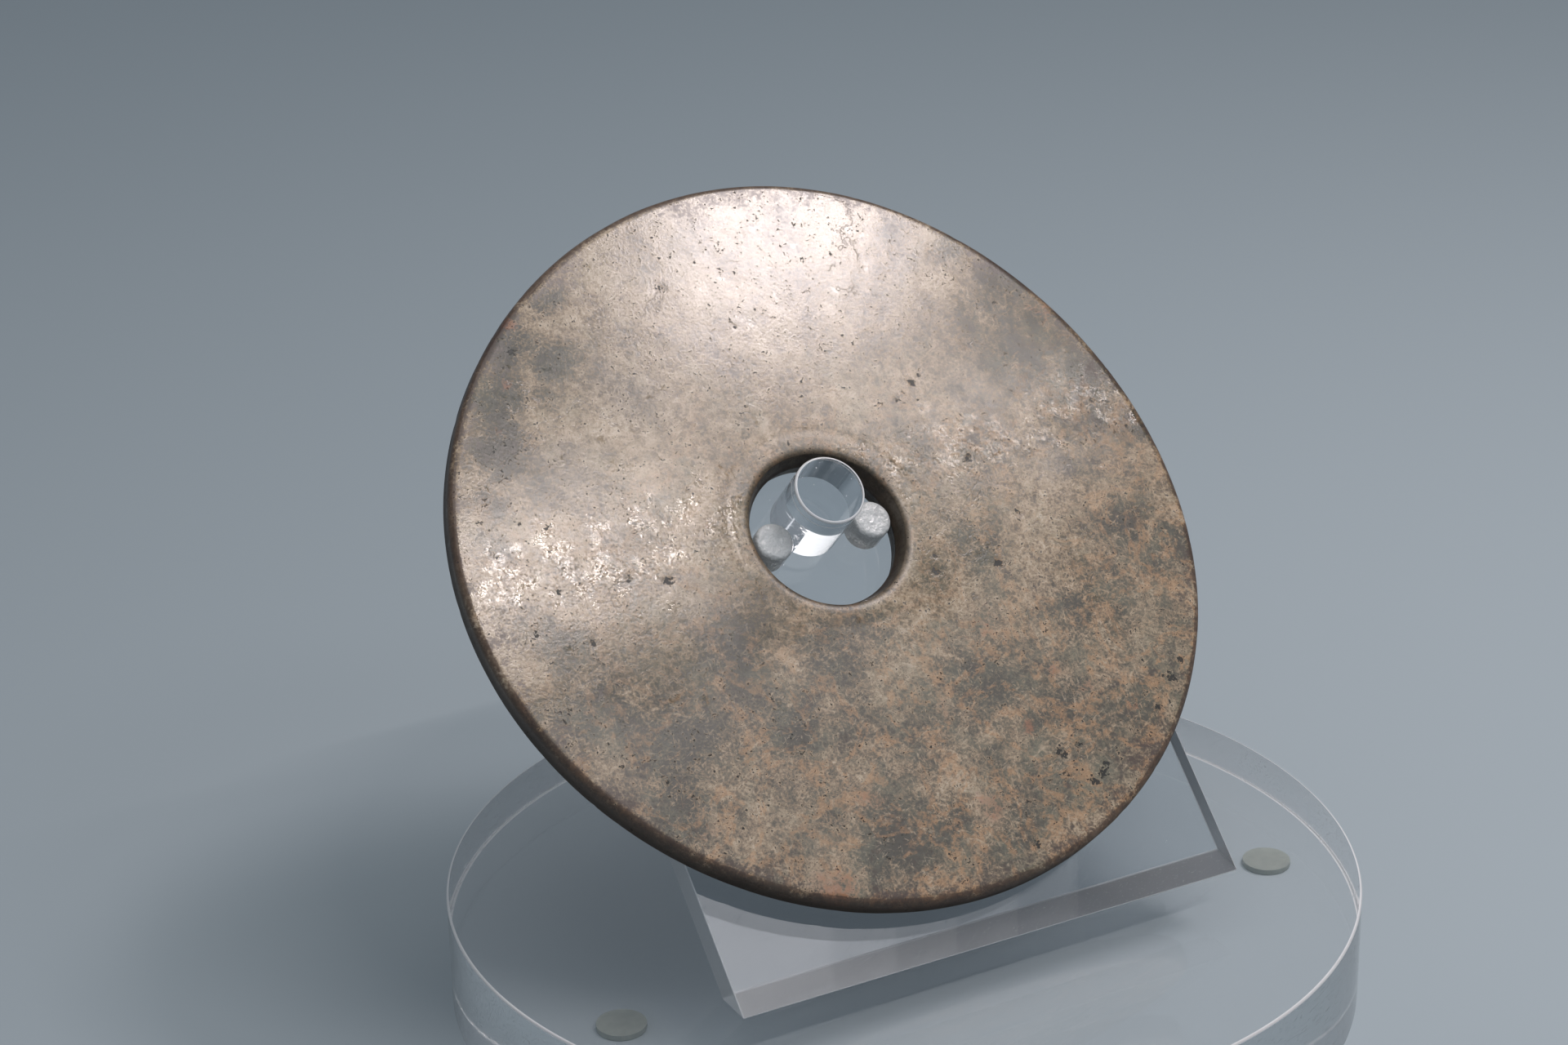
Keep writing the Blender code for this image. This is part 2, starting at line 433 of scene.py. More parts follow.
    def material(self) -> bpy.types.Material:
        """Mix the stone from its broad clouds down to its grain.

        Returns:
            The material.
        """
        graph = Graph("old_jade")
        noises = self.noises(graph)
        hollows = self.hollows(graph, noises)
        wall = graph.painted("wall")
        coarse = graph.painted("coarse")
        crust = (graph.painted("crust") * 1.3 - noises.ragged).ramp(0.30, 1.1) * 0.75
        stone = self.ground(graph, noises)
        stone = self.clouded(graph, noises, stone)
        stone = self.veined(graph, noises, stone)
        stone = graph.mix(hollows.specks * 0.70, stone, self.shadow)
        stone = graph.mix(hollows.cracks * 0.40, stone, self.shadow)
        stone = graph.mix(hollows.pits * 0.94, stone, self.pit)
        stone = graph.mix(crust, stone, self.crust)
        # Painted shade and dark ground stone: the wall mask darkens the rim's wall, the lip's steep part and
        # the hole.
        stone = graph.mix(wall, stone, self.wall)
        shards = (graph.noise(self.shard, 5.0, 0.75) + coarse * 0.12).ramp(0.615, 0.665)
        dents = graph.most(hollows.pits, hollows.specks * 0.15, hollows.cracks * 0.20)
        dull = dents * 0.35 + crust * 0.16 + wall * 0.30 + noises.weathered.ramp(0.45, 0.95) * 0.22
        handled = noises.felt.ramp(0.35, 0.70) * 0.05 * (1.0 - shards)
        shine = self.polish + handled - shards * 0.080 + dull
        height = noises.grain * 0.7 + noises.felt * 0.5 - dents * 2.5
        graph.bump(height, self.relief, graph.facets(self.facet, self.sparkle, coarse))
        return graph.finish(Base_Color=stone, Roughness=shine.clamped(), IOR=self.refraction)


@dataclass(frozen=True)
class AcrylicFinish:
    """Cast acrylic. Clear where it is polished, hazy where it is cut, and cloudy where it is frosted."""

    name: str
    colour: Colour
    roughness: float
    clarity: float
    scratch: float
    wave: float
    wave_size: float = 0.0450
    wave_length: float = 1.0
    relief: float = 0.0001
    refraction: float = 1.49
    scratch_width: float = 0.0005
    scratch_length: float = 9.0
    scratch_turn: float = 0.6

    def material(self) -> bpy.types.Material:
        """Make the see-through shader, with handling marks in its surface.

        Returns:
            The material.
        """
        graph = Graph(self.name)
        scratches = graph.noise(self.scratch_width, 3.0, 0.55, 0.3, self.scratch_length, self.scratch_turn)
        waves = graph.noise(self.wave_size, 2.0, 0.5, 0.0, self.wave_length)
        graph.bump(scratches.ramp(0.60, 0.72) * self.scratch + waves * self.wave, self.relief)
        return graph.finish(
            Base_Color=self.colour,
            Roughness=self.roughness,
            IOR=self.refraction,
            Transmission_Weight=self.clarity,
        )


@dataclass(frozen=True)
class Acrylics:
    """The finishes of the stand."""

    thick: AcrylicFinish = AcrylicFinish(
        "thick_cast_acrylic", (0.98, 0.98, 0.98), roughness=0.0, clarity=1.0, scratch=0.05, wave=0.10)
    clear: AcrylicFinish = AcrylicFinish(
        "clear_cast_acrylic", (0.86, 0.89, 0.91), roughness=0.0, clarity=1.0, scratch=0.05, wave=0.10)
    cut: AcrylicFinish = AcrylicFinish(
        "cut_acrylic_edge", (0.93, 0.96, 0.98), roughness=0.25, clarity=0.50, scratch=0.8, wave=0.2)
    glued: AcrylicFinish = AcrylicFinish(
        "glued_acrylic_mitre", (0.94, 0.96, 0.98), roughness=0.30, clarity=0.72, scratch=0.3, wave=1.6,
        wave_size=0.0060, wave_length=7.0)
    turned: AcrylicFinish = AcrylicFinish(
        "turned_acrylic_wall", (0.90, 0.95, 0.97), roughness=0.05, clarity=0.90, scratch=0.3, wave=0.3)
    arris: AcrylicFinish = AcrylicFinish(
        "worn_acrylic_arris", (1.0, 1.0, 1.0), roughness=0.20, clarity=0.30, scratch=0.5, wave=0.2)
    frosted: AcrylicFinish = AcrylicFinish(
        "frosted_cast_acrylic", (0.97, 0.99, 0.98), roughness=0.10, clarity=0.45, scratch=0.8, wave=6.0,
        wave_size=0.0016)


@dataclass(frozen=True)
class SiliconeFinish:
    """The milky self-adhesive pads."""

    colour: Colour = tone(204, 213, 204)
    cloudy: Colour = tone(190, 200, 192)
    cloud: float = 0.0020
    relief: float = 0.00005
    roughness: float = 0.45
    refraction: float = 1.41
    clarity: float = 0.45

    def material(self) -> bpy.types.Material:
        """Make a cloudy, half see-through shader.

        Returns:
            The material.
        """
        graph = Graph("milky_silicone")
        cloud = graph.noise(self.cloud, 3.0, 0.6)
        graph.bump(cloud, self.relief)
        return graph.finish(
            Base_Color=graph.mix(cloud.ramp(0.3, 0.7), self.colour, self.cloudy),
            Roughness=self.roughness,
            IOR=self.refraction,
            Transmission_Weight=self.clarity,
        )


@dataclass(frozen=True)
class FloorFinish:
    """A plain pale matt floor."""

    colour: Colour = tone(170, 182, 188)
    roughness: float = 0.9

    def material(self) -> bpy.types.Material:
        """Make the floor's shader."""
        return Graph("pale_floor").finish(Base_Color=self.colour, Roughness=self.roughness)


@dataclass(frozen=True)
class Slope:
    """The sheet's leaning frame, which starts on the sheet's lower front edge."""

    tilt: float = radians(44.5)
    setback: float = 0.0470
    height: float = 0.0308

    def matrix(self) -> Matrix:
        """The slope's frame in the world's."""
        return Matrix.Translation((0.0, -self.setback, self.height)) @ Matrix.Rotation(self.tilt, 4, "X")

    def at(self, x: float, up: float, out: float) -> Matrix:
        """The frame of a place across the sheet, up its slope and out of its face."""
        return self.matrix() @ Matrix.Translation((x, up, out))


class Shape:
    """A mesh being put together from rings of points."""

    def __init__(self) -> None:
        """Start with nothing."""
        self.rings: list[np.ndarray] = []
        self.masks: dict[str, list[np.ndarray]] = {}

    def add_ring(self, points: np.ndarray, **masks: np.ndarray) -> None:
        """Add one ring.

        Args:
            points: Its points, one row each.
            **masks: Painted masks of the same length.
        """
        self.rings.append(points)
        for name, mask in masks.items():
            self.masks.setdefault(name, []).append(mask)

    def make(self, name: str, capped: bool, closed: bool) -> bpy.types.Object:
        """Turn the rings into an object.

        Args:
            name: The piece's name.
            capped: True where the first and last rings are filled.
            closed: True where the last ring joins the first.

        Returns:
            The object, at the world's origin.
        """
        count = len(self.rings[0])
        points = np.concatenate(self.rings)
        steps = np.arange(count)
        ahead = (steps + 1) % count
        faces: list[Sequence[int]] = []
        last = len(self.rings) if closed else len(self.rings) - 1
        for ring in range(last):
            here = ring * count
            following = (ring + 1) % len(self.rings) * count
            band = np.stack([here + steps, following + steps, following + ahead, here + ahead], 1)
            faces.extend(band.tolist())
        if capped:
            faces.append(steps.tolist())
            faces.append((steps[::-1] + (len(self.rings) - 1) * count).tolist())
        mesh = bpy.data.meshes.new(name)
        mesh.from_pydata(points.tolist(), [], faces)
        for mask_name, parts in self.masks.items():
            layer = mesh.attributes.new(mask_name, "FLOAT", "POINT")
            layer.data.foreach_set("value", np.concatenate(parts).astype(np.float32))
        mesh.validate()
        mesh.update()
        item = bpy.data.objects.new(name, mesh)
        bpy.context.scene.collection.objects.link(item)
        return item


def settle(item: bpy.types.Object, place: Matrix, materials: Sequence[bpy.types.Material], slot: str,
           *nodes: str) -> None:
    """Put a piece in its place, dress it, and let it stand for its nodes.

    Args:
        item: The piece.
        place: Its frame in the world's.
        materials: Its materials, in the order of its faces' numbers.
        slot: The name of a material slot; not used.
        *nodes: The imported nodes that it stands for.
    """
    item.matrix_world = place
    for material in materials:
        item.data.materials.append(material)
    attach(item, BODY)
    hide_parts(*nodes)
    LOG.info("%s: %d faces, stands for %s", item.name, len(item.data.polygons), ", ".join(nodes))


def rounded(centre: tuple[float, float], start: float, end: float, radius: float,
            steps: int) -> list[tuple[float, float]]:
    """Section points, as radius and height, of an edge rounded about a centre."""
    turns = [start + (end - start) * step / steps for step in range(steps + 1)]
    return [(centre[0] + radius * cos(turn), centre[1] + radius * sin(turn)) for turn in turns]


class Stain(Enum):
    """What a mark on the stone is. The values name the masks that the mesh carries."""

    OLIVE = "olive"
    SLATE = "slate"
    CREAM = "cream"
    RUST = "rust"
    PIT = "pit"


@dataclass(frozen=True)
class Mark:
    """One mark on the disc's front, in millimetres from the disc's middle."""

    x: float
    y: float
    reach: float
    strength: float = 1.0


def marks(*rows: tuple[float, ...]) -> list[Mark]:
    """Marks from rows of x, y, reach and, where it isn't 1, strength."""
    return [Mark(*row) for row in rows]


MARKS: dict[Stain, list[Mark]] = {
    Stain.OLIVE: marks(
        (-66, 69, 9, 1.9), (-57, 62, 7, 1.4), (-74, 54, 9, 1.9), (-64, 50, 4, 1.2), (-81, 37, 8, 1.5),
        (-76, 43, 7, 1.5), (-52, 77, 5, 1.3), (-86, 26, 5, 1.0), (-72, 30, 5, 0.8), (-70, 61, 12, 0.6),
        (91, -24, 6, 1.8), (84, -30, 5, 1.2), (80, 47, 6, 1.4), (72, 33, 11, 1.5), (88, 27, 9, 1.5),
        (77, -17, 7, 1.5), (76, 59, 8, 1.4), (64, 70, 6, 1.3), (94, 9, 6, 1.5), (82, 12, 5, 0.8),
        (63, 27, 5, 0.7), (50, 80, 6, 0.8), (67, 49, 11, 0.9), (82, 40, 10, 1.1), (-75, -31, 12),
        (-80, -15, 8, 0.7), (-17, -82, 9), (-90, -30, 8, 0.8), (-66, -58, 9, 0.7), (-88, 14, 5, 0.6),
        (-5, -80, 7), (13, -86, 8, 0.7), (34, -12, 9), (20, -17, 6, 0.8), (-39, -26, 9),
        (-62, -43, 11, 0.8), (22, -48, 10), (60, -35, 12), (-16, -31, 8, 0.8), (-33, -46, 9, 0.8),
        (38, -63, 10, 0.7), (61, -66, 7, 0.9), (0, -29, 8, 0.6),
    ),
    Stain.SLATE: marks(
        (-40, 45, 11, 0.7), (-46, 52, 8, 0.6), (-62, 32, 10, 0.7), (51, 29, 8, 0.5), (67, 6, 8, 0.6),
        (-44, -14, 11, 0.7), (34, 6, 7, 0.5),
    ),
    Stain.CREAM: marks(
        (-64, 60, 4, 1.0), (-66, 38, 6, 0.6), (64, 46, 6, 0.7), (84, -4, 6, 0.7), (66, -16, 5, 0.6),
        (-19, -60, 8), (-51, -63, 10, 0.7), (73, -51, 8), (35, -92, 8, 0.8), (-41, -1, 12, 0.6),
        (44, -23, 9), (5, -72, 8, 0.8), (-7, -45, 7, 0.8), (64, -67, 3, 1.2), (-94, -49, 8, 0.5),
        (56, -7, 8, 0.6),
    ),
    Stain.RUST: marks(
        (-63, 72, 3, 1.0), (-70, 58, 3, 0.9), (-78, 46, 3, 0.8), (41, -50, 4, 0.9), (48, -55, 4, 0.8),
        (9, -79, 5, 0.7), (-46, 85, 4, 0.7), (29, -62, 2.4, 1.1), (28, -34, 6, 0.6), (35, -42, 5, 0.5),
        (-39, -89, 7, 0.8), (-20, -70, 5, 0.6), (84, 49, 6, 0.6), (-63, -66, 6, 0.6), (-75, -58, 4, 0.7),
        (58, -64, 3, 0.7), (8, -54, 4, 0.5),
    ),
    Stain.PIT: marks(
        (36.4, 34.6, 1.3), (39.3, 36.6, 1.1, 0.8), (42.7, 10.2, 1.2), (74.1, -59.3, 1.5),
        (78.1, -55.8, 1.0), (34.4, -71.6, 1.6), (45.2, -77.3, 1.5), (43.3, -79.8, 1.3), (40.0, -81.0, 1.2),
        (17.9, -91.4, 1.4, 0.7), (-21.6, 74.5, 1.5, 0.5), (-6, 59.7, 0.7), (-74.7, 17, 0.9, 0.7),
        (-35, 18.6, 1.0, 0.7), (-49.4, -3.7, 1.2), (-59, -1.5, 1.0, 0.8), (-77.5, 0, 0.9, 0.8),
        (-86.4, -8.9, 1.1, 0.7), (-73.8, -14.6, 1.0, 0.7), (50.6, -7.2, 1.0, 0.8), (20.9, -17.4, 1.2),
        (23, -13.2, 1.0, 0.8), (38.6, -18.7, 1.2), (40.3, -70.4, 1.2), (66.2, -66.6, 1.2),
        (30.2, 30.6, 1.0, 0.7), (-66.4, 65, 1.1, 0.7),
    ),
}


@dataclass(frozen=True)
class Cloud:
    """Smooth noise that shapes the stone and paints its masks."""

    size: float
    octaves: int
    seed: float

    def at(self, points: np.ndarray) -> np.ndarray:
        """The noise at some points.

        Args:
            points: The points.

        Returns:
            The noise at each, from about -1 to 1.
        """
        shift = Vector((self.seed, 2.0 * self.seed, 3.0 * self.seed))
        places = [Vector(point) / self.size + shift for point in points]
        return np.array([noise.fractal(place, 1.0, 2.0, self.octaves) for place in places])


def directions(turns: np.ndarray) -> np.ndarray:
    """Unit vectors in some directions, one row each."""
    return np.stack([np.cos(turns), np.sin(turns)], 1)


@dataclass(frozen=True)
class DiscFace:
    """What differs between the disc's two faces."""

    side: float
    crown: float
    edge: float
    mouth: float
    steps: int


@dataclass(frozen=True)
class JadeDisc:
    """The stone disc, with the same outline, domes and hole as its solid, and its fine wear."""

    radius: float = 0.1000
    rim: float = 0.0065
    front: DiscFace = DiscFace(side=1.0, crown=0.0014, edge=0.0018, mouth=0.0210, steps=100)
    back: DiscFace = DiscFace(side=-1.0, crown=0.0024, edge=0.0012, mouth=0.0203, steps=34)
    ridge: float = 0.0195
    ridge_depth: float = 0.0042
    lip_width: float = 0.0042
    lip_drop: float = 0.0006
    lip_sharpness: float = 7.0
    hole_x: float = -0.0027
    hole_up: float = 0.0005
    centre_x: float = -0.0032
    centre_up: float = 0.1105
    outline_waves: tuple[tuple[int, float, float], ...] = (
        (2, 0.0019, radians(128.0)), (3, 0.0079, radians(-146.0)), (4, 0.0028, radians(-43.0)))
    segments: int = 520
    lip_steps: int = 10
    hole_steps: int = 9
    rim_front_steps: int = 8
    rim_wall_steps: int = 4
    rim_back_steps: int = 6
    swell: float = 0.00004
    swell_cloud: Cloud = Cloud(0.030, 2, 50.0)
    dimple: float = 0.000012
    dimple_cloud: Cloud = Cloud(0.0055, 2, 60.0)
    pit_depth: float = 0.00005
    nick_depth: float = 0.00045
    nick_start: float = 0.42
    nick_cloud: Cloud = Cloud(0.006, 3, 80.0)
    rim_wear: float = 0.00005
    rim_cloud: Cloud = Cloud(0.012, 2, 90.0)
    turning_depth: float = 0.00004
    turning_pitch: float = 0.00055
    turning_cloud: Cloud = Cloud(0.02, 2, 5.0)
    ring_reach: float = 0.0062
    ring_width: float = 0.0011
    ring_depth: float = 0.00003
    hole_flare: float = 0.8
    mark_warp: float = 0.0026
    mark_clouds: tuple[Cloud, Cloud] = (Cloud(0.010, 3, 4.0), Cloud(0.010, 3, 9.0))
    mark_softness: float = 1.4
    mark_falloff: float = 1.3
    pit_warp: float = 0.25
    back_olive: Cloud = Cloud(0.030, 3, 21.0)
    back_cream: Cloud = Cloud(0.024, 3, 33.0)
    weather_cloud: Cloud = Cloud(0.035, 2, 14.0)
    coarse_up: float = 0.0120
    coarse_lift: float = 0.07
    coarse_reach: float = 0.0115
    crust_reach: float = 0.018
    crust_cloud: Cloud = Cloud(0.009, 3, 70.0)
    halo_reach: float = 0.085
    halo_share: float = 0.55
    halo_cloud: Cloud = Cloud(0.022, 3, 75.0)
    least_reach: float = 0.002
    worn_reach: float = 0.009
    worn_share: float = 0.8
    lip_dark_and_shade: float = 0.75
    lip_wall_start: float = 0.55
    hole_dark_and_shade: float = 0.95
    hole_crust: float = 0.35

    @property
    def turns(self) -> np.ndarray:
        """The directions of the segments from the middle."""
        return 2 * pi * np.arange(self.segments) / self.segments

    @property
    def around(self) -> np.ndarray:
        """Unit vectors in those directions, one row each."""
        return directions(self.turns)

    @property
    def hole(self) -> np.ndarray:
        """The middle of the hole."""
        return np.array([self.hole_x, self.hole_up])

    @property
    def outline(self) -> np.ndarray:
        """The worn outline's radius in each direction."""
        swings = [share * np.cos(count * self.turns - phase) for count, share, phase in self.outline_waves]
        return self.radius * (1.0 + sum(swings))

    def dome(self, flat: np.ndarray, crown: float) -> np.ndarray:
        """How far a face with this crown stands above its rim at some places."""
        return crown * (1.0 - (flat[:, 0] * flat[:, 0] + flat[:, 1] * flat[:, 1]) / self.radius**2)

    def masks(self, points: np.ndarray, front: bool) -> dict[str, np.ndarray]:
        """The painted masks of one face's ring.

        Args:
            points: The ring's points.
            front: True on the front face, which has the marks that show.

        Returns:
            A mask for each kind of mark.
        """
        warp = self.mark_warp * np.stack([cloud.at(points) for cloud in self.mark_clouds], 1)
        masks = {kind.value: np.zeros(len(points)) for kind in Stain}
        for kind, placed in MARKS.items() if front else ():
            still = kind is Stain.PIT
            place = points[:, :2] + (self.pit_warp if still else 1.0) * warp
            for mark in placed:
                share = np.hypot(*(place - MM * np.array([mark.x, mark.y])).T) / (MM * mark.reach)
                spot = np.clip(self.mark_softness - share, 0.0, 1.0) ** (1.0 if still else self.mark_falloff)
                masks[kind.value] = np.maximum(masks[kind.value], mark.strength * spot)
        if not front:
            masks["olive"] = np.clip(self.back_olive.at(points) * 1.6, 0.0, 1.0)
            masks["cream"] = np.clip(self.back_cream.at(points) * 1.4, 0.0, 1.0)
        drift = points[:, 1] - self.coarse_up - self.coarse_lift * points[:, 0]
        masks["coarse"] = np.exp(-((drift / self.coarse_reach) ** 2)) if front else np.zeros(len(points))
        slide = (0.2 * points[:, 0] - points[:, 1]) / self.radius
        weather = 0.45 + 0.75 * slide + 0.35 * self.weather_cloud.at(points)
        masks["weathered"] = np.clip(weather, 0.0, 1.0)
        return masks

    def relief(self, points: np.ndarray, masks: dict[str, np.ndarray]) -> np.ndarray:
        """How far the polished face rises, or sinks, from its dome.

        Args:
            points: The ring's points.
            masks: The ring's masks, for the pits.

        Returns:
            The rise at each point.
        """
        swells = self.swell * self.swell_cloud.at(points)
        dimples = self.dimple * self.dimple_cloud.at(points)
        return swells + dimples - self.pit_depth * masks["pit"]

    def edge_crust(self, points: np.ndarray) -> np.ndarray:
        """The brown crust along the rim, ragged at the very edge and thin further in.

        Args:
            points: The ring's points.

        Returns:
            The crust's mask.
        """
        border = (self.outline - np.hypot(*points[:, :2].T)) / self.radius
        ragged = self.crust_reach * (1.0 + self.crust_cloud.at(points))
        stained = self.halo_reach * (1.0 + 1.2 * self.halo_cloud.at(points))
        edge = np.clip(1.0 - border / np.maximum(ragged, self.least_reach), 0.0, 1.0)
        halo = np.clip(1.0 - border / np.maximum(stained, self.least_reach), 0.0, 1.0)
        return np.maximum(edge, self.halo_share * halo)

    def face(self, shape: Shape, face: DiscFace) -> None:
        """Add the rings of one domed face, from the hole's lip out to the rim, or back for the back.

        Args:
            shape: The mesh.
            face: The face's sizes.
        """
        rings = []
        for step in range(self.lip_steps):
            share = 1.0 - cos(0.5 * pi * step / self.lip_steps)
            rings.append((self.hole + self.around * (face.mouth + self.lip_width * share), 1.0 - share))
        start = self.hole + self.around * (face.mouth + self.lip_width)
        edge = self.around * (self.outline - face.edge)[:, None]
        for step in range(face.steps + 1):
            rings.append((start + (edge - start) * step / face.steps, 0.0))
        for flat, lip in rings if face is self.front else reversed(rings):
            drop = self.lip_drop * lip**self.lip_sharpness
            points = np.column_stack([flat, self.rim / 2 + self.dome(flat, face.crown) - drop])
            points[:, 2] *= face.side
            masks = self.masks(points, face is self.front)
            reach = np.hypot(*(flat - self.hole).T) - face.mouth
            ring = self.ring_depth * np.exp(-(((reach - self.ring_reach) / self.ring_width) ** 2))
            points[:, 2] += face.side * (self.relief(points, masks) - ring)
            masks["crust"] = self.edge_crust(points)
            # The lip's steep part, where it turns down into the hole, is painted darker: partly dark ground
            # stone, partly painted shade.
            steep = max(lip - self.lip_wall_start, 0.0) / (1.0 - self.lip_wall_start)
            masks["wall"] = np.full(self.segments, self.lip_dark_and_shade * steep)
            worn = self.worn_share * np.clip(1.0 - reach / self.worn_reach, 0.0, 1.0)
            masks["weathered"] = np.maximum(masks["weathered"], worn)
            shape.add_ring(points, **masks)

    def rim_rings(self, shape: Shape) -> None:
        """Add the worn rim, from the front's edge to the back's.

        Args:
            shape: The mesh.
        """
        half, front, back = self.rim / 2, self.front.edge, self.back.edge
        section = rounded((front, half - front), pi / 2, pi, front, self.rim_front_steps)[1:]
        wall = half - front - (back - half)
        shares = [step / self.rim_wall_steps for step in range(1, self.rim_wall_steps)]
        section += [(0.0, half - front - wall * share) for share in shares]
        section += rounded((back, back - half), pi, 1.5 * pi, back, self.rim_back_steps)[:-1]
        for inset, height in section:
            flat = self.around * (self.outline - inset)[:, None]
            points = np.column_stack([flat, np.full(self.segments, height)])
            wear = self.nick_cloud.at(points)
            nicks = self.nick_depth * np.clip(wear - self.nick_start, 0.0, 0.6)
            points[:, :2] -= self.around * (nicks + self.rim_wear * self.rim_cloud.at(points))[:, None]
            masks = self.masks(points, front=True)
            # The crust and wall masks grow towards the rim's back edge, so the rim is painted darker there:
            # partly its own dark weathered colour, partly painted shade where it faces away from the light.
            depth = (half - height) / self.rim
            masks["crust"] = np.clip(0.80 + 1.6 * depth + 0.4 * wear, 0.0, 1.0)
            masks["wall"] = np.full(self.segments, min(0.9, 1.5 * depth))
            shape.add_ring(points, **masks)

    def hole_rings(self, shape: Shape, face: DiscFace) -> None:
        """Add the drilled wall of the hole on one side of its ridge.

        Args:
            shape: The mesh.
            face: The sizes of the face on that side.
        """
        ridge_flat = self.hole + self.around * self.ridge
        ridge_height = self.rim / 2 + self.dome(ridge_flat, self.front.crown)
        ridge_height = ridge_height - self.lip_drop - self.ridge_depth
        mouth_flat = self.hole + self.around * face.mouth
        mouth_height = face.side * (self.rim / 2 + self.dome(mouth_flat, face.crown) - self.lip_drop)
        shares = [step / self.hole_steps for step in range(self.hole_steps)]
        if face is self.back:
            shares = [1.0 - share for share in shares[1:]]
        for share in shares:
            radius = self.ridge + (face.mouth - self.ridge) * share**self.hole_flare
            height = ridge_height + (mouth_height - ridge_height) * share
            points = np.column_stack([self.hole + self.around * radius, height])
            turnings = np.sin(height / self.turning_pitch + 2.0 * self.turning_cloud.at(points))
            points[:, :2] += self.around * self.turning_depth * turnings[:, None]
            masks = self.masks(points, front=False)
            masks["crust"] = np.full(self.segments, self.hole_crust)
            # The hole's wall is painted dark brown, darkest at the ridge deep inside: partly its own ground
            # colour, partly painted shade.
            masks["wall"] = np.full(self.segments, self.hole_dark_and_shade - 0.2 * share)
            shape.add_ring(points, **masks)

    def build(self, slope: Slope, finish: JadeFinish) -> None:
        """Model the disc and lean it on the sheet.

        Args:
            slope: The sheet's frame.
            finish: The stone's finish.
        """
        shape = Shape()
        self.hole_rings(shape, self.front)
        self.face(shape, self.front)
        self.rim_rings(shape)
        self.face(shape, self.back)
        self.hole_rings(shape, self.back)
        item = shape.make("jade_disc", capped=False, closed=True)
        item.data.shade_smooth()
        out = CONTACT_GAP + self.back.crown + self.rim / 2
        settle(item, slope.at(self.centre_x, self.centre_up, out), [finish.material()], "jade", "bi_disc")


@dataclass(frozen=True)
class Turning:
    """A turned piece of acrylic about its own axis."""

    name: str
    node: str
    slot: str
    profile: tuple[tuple[float, float], ...]
    arris_bands: tuple[int, ...] = ()
    wall_bands: tuple[int, ...] = ()
    segments: int = 192
    sharp_angle: float = radians(40.0)

    def build(self, place: Matrix, *materials: bpy.types.Material) -> bpy.types.Object:
        """Turn the profile and put the piece in its place.

        Args:
            place: Its frame in the world's.
            *materials: Its materials: the ends', the arrises' and the wall's.

        Returns:
            The piece.
        """
        turns = 2 * pi * np.arange(self.segments) / self.segments
        around = directions(turns)
        shape = Shape()
        for radius, height in self.profile:
            shape.add_ring(np.column_stack([around * radius, np.full(self.segments, height)]))
        item = shape.make(self.name, capped=True, closed=False)
        item.data.shade_smooth()
        item.data.set_sharp_from_angle(angle=self.sharp_angle)
        item.modifiers.new("flat_ends", "WEIGHTED_NORMAL").keep_sharp = True
        for number, bands in ((1, self.arris_bands), (2, self.wall_bands)):
            for band in bands:
                for face in item.data.polygons[band * self.segments:(band + 1) * self.segments]:
                    face.material_index = number
        settle(item, place, materials, self.slot, self.node)
        return item


